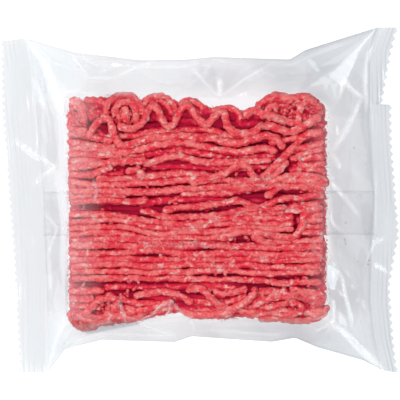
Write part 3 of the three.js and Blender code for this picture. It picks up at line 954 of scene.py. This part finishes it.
# Gaps between the straight strands of the top layer's front half: where each starts and ends along X, its y
# and its width.
GAPS = [
    (-64, -34, -24.3, 0.9),
    (-31, -5, -27.2, 1.1),
    (-1, 11, -24.2, 1.5),
    (34, 45, -26.4, 1.0),
    (40, 52, -30.1, 1.0),
    (19, 30, -33.4, 1.4),
    (37, 47, -38.8, 1.1),
    (-48, -36, -30.3, 0.8),
    (-27, -22, -33.2, 1.2),
    (-10, -4, -33.2, 1.2),
    (-48, -35, -40.0, 0.8),
]
GAP_REACH = 4.0  # how far from a gap its strands are still pushed aside
GAP_EDGE, GAP_SHARE = 0.8, 0.6  # how gently its sides part, and how much of its width each strand gives way


def opened(x, y):
    """y with the gaps opened."""
    moved = np.array(y, float)
    for start, end, gap_y, width in GAPS:
        middle, half = (start + end) / 2, (end - start) / 2
        here = np.clip(1.15 - np.abs((x - middle) / half) ** 3, 0, 1)
        away = y - gap_y
        moved += np.tanh(away / GAP_EDGE) * width * GAP_SHARE * here * np.exp(-np.abs(away) / GAP_REACH)
    return moved


def make_top_strands(material):
    bundle = Bundle()
    for lift, points in TOP_STRANDS:
        thickness = along(THICKNESS, points[0][1]) * rng.uniform(0.94, 1.06)
        bundle.lay(points, lift, STRAND_RADIUS * thickness)
    shared, height = Hills(40, 12), Hills(26, 6)
    for y0 in np.arange(-22.6, -42, -ROW_PITCH):
        x = np.arange(BLOCK_LEFT + rng.uniform(0, 2.8), BLOCK_RIGHT - rng.uniform(0, 2.4), RING_STEP)
        y = y0 + 1.1 * shared(x, np.full_like(x, y0)) + 0.8 * line_noise(x, 20) + 0.4 * line_noise(x, 8)
        y = opened(x, y)
        radius = STRAND_RADIUS * rng.uniform(0.84, 1.0)
        z = block_top(x, y) - radius + 0.8 * height(x, y) + 0.7 * line_noise(x, 14)
        bundle.add(np.stack([x, y, z], axis=1), radius=radius)
    bundle.finish("mince_top_strands", material)


def make_second_layer(material):
    # Its depth attribute gives this layer the painted shade of lying under the top one.
    bundle = Bundle()
    for y0 in np.arange(47, -58, -SECOND_PITCH):
        x = np.arange(BLOCK_LEFT + 1.5, BLOCK_RIGHT - 1.5, 1.5)
        y = y0 + 1.2 * line_noise(x, 30) + 0.9 * line_noise(x, 9)
        y = np.clip(y, along(FRONT_EDGE, x) + 3, along(BACK_EDGE, x) - 4)
        crest = np.minimum(block_top(x, y), SECOND_HIGHEST) - SECOND_DROP
        z = crest - STRAND_RADIUS + 0.9 * line_noise(x, 13)
        bundle.add(np.stack([x, y, z], axis=1), sides=10, step=1.5)
    bundle.finish("mince_second_layer", material)


def make_side_strands(material):
    """The outermost strands of each layer on the long sides, curling where the mince was folded."""
    bundle = Bundle()
    for layer in range(1, 9):
        z0 = SIDES_TOP - layer * LAYER_PITCH
        for edge, outward in ((BACK_EDGE, 1), (FRONT_EDGE, -1)):
            x = np.arange(BLOCK_LEFT + 1.5, BLOCK_RIGHT - 1.5, RING_STEP)
            turns = x / rng.uniform(13, 18) + 0.35 * line_noise(x, 25) + rng.uniform(0, 1)
            inset = STRAND_RADIUS + 1.9 + 1.5 * np.sin(2 * np.pi * turns)
            y = along(edge, x) - outward * inset
            z = z0 + 0.7 * line_noise(x, 12)
            bundle.add(np.stack([x + 1.2 * np.cos(2 * np.pi * turns), y, z], axis=1), sides=10)
            bundle.add(np.stack([x, y - outward * 2.6, z], axis=1), sides=6, step=2.0)
    bundle.finish("mince_side_strands", material)


def make_end_strands(material):
    """The cut ends of the strands at the left and right of the block."""
    bundle = Bundle()
    for layer in range(1, 10):
        z0 = ENDS_TOP - layer * LAYER_PITCH
        for y0 in np.arange(BLOCK_FRONT + 4.5, BLOCK_BACK - 5, ROW_PITCH + 0.25):
            for outward, end in ((-1, BLOCK_LEFT), (1, BLOCK_RIGHT)):
                y = y0 + (layer % 2) * ROW_PITCH / 2 + rng.normal(0, 0.35)
                z = max(z0 + rng.normal(0, 0.35), ENDS_LOWEST)
                tip = end - outward * rng.uniform(0.2, 2.2)
                lean = rng.normal(0, 0.8, 2)
                path = [(tip - outward * 6, y, z), (tip - outward * 3, y + lean[0] / 2, z),
                        (tip, y + lean[0], max(z + lean[1], ENDS_LOWEST))]
                bundle.add(smooth_path(path, 1.1), sides=8, step=1.1)
    bundle.finish("mince_cut_ends", material)


def make_bottom_strands(material):
    """The bottom layer, pressed flat by the weight of the mince."""
    bundle = Bundle()
    lowest = FILM_LIFT + 0.25 + STRAND_RADIUS * SQUEEZED
    for y0 in np.arange(BLOCK_FRONT + 4, BLOCK_BACK - 3, BOTTOM_PITCH):
        x = np.arange(BLOCK_LEFT + 2.5, BLOCK_RIGHT - 2.5, 1.1)
        y = np.minimum(y0 + 0.9 * line_noise(x, 26), along(BACK_EDGE, x) - 3)
        z = lowest + 0.25 + 0.25 * line_noise(x, 15)
        bundle.add(np.stack([x, y, z], axis=1), sides=10, step=1.1, flatten=SQUEEZED)
    bundle.finish("mince_bottom_strands", material)


# Strands that lie on top of the rest: the curls along the back edge, and loops that have slipped aside.
# Each has how far its crest is over the top layer's, and its points seen from above.
CURLS = [
    # over the back left corner and along the block
    (1.3, [(-55.9, 30.2), (-52.7, 36), (-48.9, 40.1), (-45.7, 40.4), (-43.8, 37.2), (-42.5, 32.1),
        (-39.3, 27.7), (-35.5, 27.4), (-29.7, 29.3), (-23.4, 30.9), (-17, 31.5), (-7.4, 32.1), (0, 31),
        (6.5, 31), (13, 29), (19.3, 28.4), (25.6, 30.2), (32, 32.1), (36.5, 31.5), (39.6, 29),
        (41.6, 25.1)]),
    (0.9, [(-64, 48), (-62.4, 49.6), (-60, 48.6), (-58.3, 45.5), (-57.4, 41.8), (-57.2, 37.7)]),
    # the big coil
    (0.3, [(-46.2, 41), (-46.4, 46.2), (-43.4, 50.4), (-38.9, 52), (-34, 51.3), (-30.4, 48.3), (-28.9, 44.9),
        (-28.4, 41.8)]),
    (0.7, [(-42, 41.5), (-41.6, 46.2), (-37.6, 49), (-33.6, 48), (-31.6, 44.4), (-31.8, 40.8),
        (-33.1, 38.2)]),
    (1.3, [(-37.1, 46.9), (-36.7, 42.6), (-36, 38.2)]),
    (-0.6, [(-39.3, 45.5), (-39, 42), (-38.6, 39)]),
    # the zigzag along the back
    (1.2, [(-41, 37.3), (-36, 35.7), (-31, 36.7), (-27.2, 40.5), (-25.9, 44.3), (-23.4, 46.9), (-20.8, 44.9),
        (-18.9, 40.5), (-16.4, 37.3), (-13.9, 37.3), (-11.4, 40.5), (-9.4, 44.9), (-6.1, 46.9), (-3.6, 44.3),
        (-1, 40.5), (1.5, 38), (4, 37.9), (7.1, 41.2), (9.6, 43.7), (12.2, 43.5), (13.2, 38.7), (15.7, 34.9),
        (21, 33), (26.9, 34.2), (30.7, 37.9)]),
    # the wavy strand behind it
    (-0.8, [(-28.5, 46), (-25.5, 50.4), (-21, 51.7), (-16.6, 50.2), (-13, 47.1), (-11.4, 43.1)]),
    (-0.2, [(-20.5, 50), (-16.9, 47.8), (-14.6, 45), (-13.6, 41.8)]),
    (-1.8, [(-10.5, 45.5), (-8, 49), (-4.4, 49.4), (-0.4, 47.7), (4, 43.7), (8, 44.5), (12.2, 45.7),
        (16.7, 44.9), (19.9, 41.8), (18.8, 38)]),
    # the tangle at the back right corner
    (0.8, [(22, 41), (24.5, 43.8), (27.6, 44.4), (32, 42.4), (38.4, 40.4), (43.6, 38)]),
    (-0.6, [(27, 44), (30.7, 48.2), (34.6, 50.7), (39.6, 52), (44.8, 50.7), (48.6, 51.3), (53.6, 51.3),
        (57, 49.4), (60, 45)]),
    (0.9, [(39.6, 46.9), (35, 46), (34, 43), (39, 41), (44.1, 39.2), (48.6, 38.7), (49.3, 43), (50.7, 46.9),
        (54.3, 49.4), (58.5, 48)]),
    (1.2, [(29, 38.5), (31, 37.2), (35.8, 36.6), (41, 34.7), (46, 34.2), (51.1, 36.6), (56.2, 39.8),
        (60.2, 41.8)]),
    # two strands across the right half
    (1.4, [(61.3, 34.2), (55, 32.8), (50.6, 31), (48, 27.7), (44.1, 23.9), (41, 20.7), (38.4, 18.1),
        (34.6, 14.3), (30.7, 11.2), (24, 9.5), (15, 9)]),
    (0.8, [(44, 20), (41.2, 17), (38.4, 13.7), (34.6, 11.5), (29, 9)]),
    # loops further forward
    (1.2, [(-5, 8.5), (6.5, 11.2), (12.9, 13.7), (16.7, 16.2), (21.1, 17.5), (24.4, 16.2), (25.6, 13.7),
        (28, 11), (33, 8.5)]),
    (1.3, [(56, -5), (52, -7), (51.2, -11.3), (49.3, -15.8), (46, -18.3), (40, -18), (33, -17)]),
    (1.2, [(8, -19), (15.4, -17), (20.5, -15.3), (25.6, -15.3), (30.7, -16), (37, -17.5)]),
    (0.9, [(25.6, -17.8), (29.5, -19.7), (33.3, -21), (39, -21)]),
    # loops along the front edge
    (0.8, [(-64.6, -55), (-62, -61), (-56.5, -63.4), (-51.4, -61.6), (-48.5, -59), (-42.5, -58.6),
        (-36, -58)]),
    (1.3, [(27.4, -42.6), (26.8, -46.5), (22, -51), (15.5, -54.2), (9.6, -56.4), (0.5, -57), (-6, -56.5)]),
    (0.8, [(-7, -45), (0, -43.5), (5, -47.5), (9, -51.5), (14, -53)]),
    (0.9, [(-63.5, -58), (-58.4, -56.7), (-54, -53.5), (-50.8, -49.7), (-46.4, -48.4), (-41, -49)]),
    (0.5, [(-61, -60), (-54, -61), (-49, -58), (-44, -60)]),
    (0.4, [(-36, -56.7), (-32.9, -54.8), (-26.5, -54.1), (-20, -52), (-13, -50)]),
    (0.8, [(26, -53.5), (30.2, -50.3), (35.8, -48.4), (43.5, -47.1), (49.9, -47.8), (57, -49), (62, -51)]),
    (0.6, [(44.8, -46.5), (51.1, -48.4), (57, -48.8), (63, -48.4)]),
    (0.2, [(29, -59), (38, -58.5), (45, -59.2), (53, -59.5), (60, -57.5), (64, -52)]),
    # ends that stick out at the right
    (0.4, [(45, 10), (55, 9.5), (60, 8.5), (64.3, 8.4)]),
    (0.2, [(48, 18), (56, 17.5), (62.5, 18.5)]),
]


def make_curls(material):
    bundle = Bundle()
    for lift, points in CURLS:
        bundle.lay(points, lift, STRAND_RADIUS * rng.uniform(0.95, 1.05), wander=0)
    bundle.finish("mince_curls", material)


CRUMBS = 900
SPECK_HEIGHT, SPECK_RISE, RIGHT_SEAL = 13.2, 0.8, 84  # specks lie higher the further they are from the seal

# Larger specks of mince on the film at the right end.
SPECKS = [
    (72.9, -11.3), (71.9, -19.8), (72.6, -21.7), (78.9, -30.5), (84, -30), (84.2, -31.8), (66.5, -34),
    (77, 26),
]


def make_crumbs(material):
    """Specks of mince that cling to the film round the block, and a few further off at its right end."""
    bundle = Bundle()
    spots = []
    for _ in range(CRUMBS):
        x, y = rng.uniform(BLOCK_LEFT, BLOCK_RIGHT), rng.uniform(-52, 45)
        side = rng.integers(4)
        off = rng.exponential(0.45) - 0.2
        spots.append([
            (BLOCK_LEFT - off, y), (BLOCK_RIGHT + off, y),
            (x, along(BACK_EDGE, x) + off), (x, along(FRONT_EDGE, x) - off),
        ][side])
    for x, y in spots + SPECKS:
        is_large = (x, y) in SPECKS
        size = rng.uniform(0.3, 0.45) if is_large else rng.uniform(0.14, 0.34)
        if is_large:
            z = SPECK_HEIGHT + max(0, RIGHT_SEAL - x) * SPECK_RISE
        else:
            z = min(block_top(x, y) - 2, rng.uniform(20, 30))
        turn = rng.uniform(0, math.pi)
        reach = size * rng.uniform(0.8, 2.0)
        end = (x + reach * math.cos(turn), y + reach * math.sin(turn), z)
        bundle.add([(x, y, z), end], radius=size, sides=5, step=0.4)
    bundle.finish("mince_crumbs", material)


# Where short scraps of mince lie between the strands: the left, right, front and back of each patch, how
# many, and how far the lowest and the highest are over the top strands' crests.
SCRAPS = [
    (-63.5, -57, 35, 46, 50, -1.8, 0.0),
    (-57, -47, 40, 47, 50, -3.0, -0.9),
    (-43, -30, 38, 49, 50, -2.4, -0.2),
    (-27, 24, 39, 43, 40, -3.6, -2.4),
    (33, 58, 38, 49, 100, -2.2, -0.2),
    (-64.5, -62, -46, 34, 90, -6.0, -1.5),
    (61, 63, -46, 40, 90, -6.0, -1.5),
    (-50, -35, -60, -46, 60, -1.8, -0.2),
    (24, 62, -57, -44, 80, -2.0, -0.4),
    (-64, 62, -44, 36, 420, -2.8, -1.2),
]


def make_scraps(material):
    """Short torn scraps of mince in the gaps round the strands and the curls."""
    bundle = Bundle()
    for left, right, front, back, count, low, high in SCRAPS:
        for _ in range(count):
            x, y = rng.uniform(left, right), rng.uniform(front, back)
            radius = rng.uniform(0.6, 1.25)
            turn, bend = rng.uniform(0, 2 * math.pi), rng.normal(0, 0.8)
            reach = rng.uniform(0.6, 1.8)
            z = block_top(x, y) - radius + rng.uniform(low, high)
            path = [(x, y, z)]
            for angle in (turn, turn + bend):
                x = min(max(x + reach * math.cos(angle), BLOCK_LEFT + radius), BLOCK_RIGHT - radius)
                y += reach * math.sin(angle)
                path.append((x, y, z + rng.normal(0, 0.3)))
            bundle.add(smooth_path(path, 0.6), radius=radius, sides=8, step=0.6, lumps=0.1)
    bundle.finish("mince_scraps", material)


def make_core(material):
    """The mince inside, which only shows between the strands, dark with painted shade from its depth
    attribute.
    """
    inset, columns, rows = 3.6, 48, 40
    bottom, top = 3.0, TOP_CREST - LAYER_PITCH - STRAND_RADIUS * 1.3
    x = np.linspace(BLOCK_LEFT + inset, BLOCK_RIGHT - inset, columns)
    y = np.linspace(BLOCK_FRONT + inset + 1.5, BLOCK_BACK - inset - 2.5, rows)
    x, y = np.meshgrid(x, y)
    relief = Hills(9, 4)(x, y) * 0.5
    upper = np.minimum(top, block_top(x, y) - LAYER_PITCH - STRAND_RADIUS * 1.3) + relief
    above = sheet_faces(rows, columns)
    below = above[:, ::-1] + rows * columns
    number = np.arange(rows * columns).reshape(rows, columns)
    outline = np.concatenate([number[0, :-1], number[:-1, -1], number[-1, :0:-1], number[:0:-1, 0]])
    after = np.roll(outline, -1)
    edge = np.stack([outline, outline + rows * columns, after + rows * columns, after], axis=-1)
    corners = np.concatenate([
        np.stack([x, y, upper], axis=-1).reshape(-1, 3),
        np.stack([x, y, np.full_like(x, bottom) - relief], axis=-1).reshape(-1, 3),
    ])
    faces = np.concatenate([above, below, edge]).tolist()
    core = add_piece("mince_core", corners, faces, material)
    add_values(core, tone=np.zeros(len(corners)), depth=painted_shade_depth(*corners.T, below_crest=0))


# ---------------------------------------------------------------- floor, light and camera


def make_floor():
    half, depth = 4000.0, -0.3
    corners = [(-half, -half, depth), (half, -half, depth), (half, half, depth), (-half, half, depth)]
    mesh = bpy.data.meshes.new("floor")
    mesh.from_pydata([tuple(v / METRE for v in corner) for corner in corners], [], [(0, 1, 2, 3)])
    mesh.materials.append(floor_material())
    floor = bpy.data.objects.new("floor", mesh)
    bpy.context.scene.collection.objects.link(floor)


SKY_LOW, SKY_HIGH, SKY_OVERHEAD = 0.32, 0.50, 0.03  # the brightness round the horizon, high up and overhead


def add_softbox(name, azimuth, elevation, distance, size, brightness, is_mirrored=True):
    """A rectangular light that faces the pack, mirrored in its film or not. Azimuth 0 is towards +X and 90
    towards +Y, and lengths are metres.
    """
    a, e = math.radians(azimuth), math.radians(elevation)
    place = Vector((math.cos(a) * math.cos(e), math.sin(a) * math.cos(e), math.sin(e))) * distance
    light = bpy.data.lights.new(name, "AREA")
    light.shape = "RECTANGLE"
    light.size, light.size_y = size
    light.energy = brightness * math.pi * size[0] * size[1]
    box = bpy.data.objects.new(name, light)
    box.location = place
    box.rotation_euler = (-place).to_track_quat("-Z", "Y").to_euler()
    box.visible_glossy = is_mirrored
    bpy.context.scene.collection.objects.link(box)


def make_world():
    """Soft light from all round and most of it from high up, but darkness straight overhead, so that the film
    on top doesn't glare.
    """
    world = bpy.data.worlds.new("studio")
    world.use_nodes = True
    bpy.context.scene.world = world
    nodes, links = world.node_tree.nodes, world.node_tree.links
    background = nodes["Background"]
    direction = nodes.new("ShaderNodeTexCoord").outputs["Generated"]
    split = nodes.new("ShaderNodeSeparateXYZ")
    links.new(direction, split.inputs["Vector"])
    upward = split.outputs["Z"]
    high = maths(nodes, links, "MULTIPLY", ramp(nodes, links, upward, 0.5, 0.85), SKY_HIGH - SKY_LOW)
    overhead = ramp(nodes, links, upward, 0.82, 0.96)
    strength = maths(nodes, links, "ADD", high, SKY_LOW)
    strength = maths(nodes, links, "MULTIPLY", strength, maths(nodes, links, "SUBTRACT", 1.0, overhead))
    links.new(maths(nodes, links, "ADD", strength, SKY_OVERHEAD), background.inputs["Strength"])
    background.inputs["Color"].default_value = (0.93, 0.96, 1.0, 1)


def make_camera():
    """A camera straight above. Its lengths are metres, and it sees this width at the height of the seals."""
    camera = bpy.data.cameras.new("camera")
    distance, seen_width = 5.0, 0.1993
    camera.sensor_width = 36
    camera.lens = camera.sensor_width * (distance - SEAL_HEIGHT / METRE) / seen_width
    camera.clip_end = 20
    holder = bpy.data.objects.new("camera", camera)
    holder.location = (0, 0, distance)
    bpy.context.scene.collection.objects.link(holder)
    bpy.context.scene.camera = holder


# ---------------------------------------------------------------- the scene

scene = bpy.context.scene
scene.view_settings.view_transform = "Standard"
scene.cycles.transparent_max_bounces = 24

make_camera()
make_floor()
make_world()
add_softbox("overhead", 0, 90, 3.2, (1.2, 1.2), 9.0, is_mirrored=False)
add_softbox("back_left", 134, 59, 2.2, (0.8, 0.8), 5)
add_softbox("back_left_soft", 134, 59, 2.2, (0.8, 0.8), 5, is_mirrored=False)
add_softbox("front_left", 225, 59, 2.2, (0.8, 0.8), 5.5)
add_softbox("back_right", 57, 35, 2.2, (0.9, 0.9), 0.2)
add_softbox("front_right", 335, 44, 2.2, (0.7, 0.7), 2.6)
add_softbox("low_left", 180, 18, 1.8, (2.4, 0.9), 0.8)

minced_beef = mince_material()
clear_film = film_material("clear_film", (0.950, 0.960, 0.968, 1), (0.58, 0.61, 0.64, 1), 0.08)
seam_film = film_material("seam_film", (0.985, 0.985, 0.99, 1), (0.9, 0.9, 0.92, 1), 0.02)
make_film("film_upper", clear_film, UPPER_GRID, is_upper=True)
make_film("film_lower", clear_film, LOWER_GRID, is_upper=False)
make_back_seam(seam_film)
make_top_strands(minced_beef)
make_curls(minced_beef)
make_second_layer(minced_beef)
make_side_strands(minced_beef)
make_end_strands(minced_beef)
make_bottom_strands(minced_beef)
make_core(minced_beef)
make_crumbs(minced_beef)
make_scraps(minced_beef)
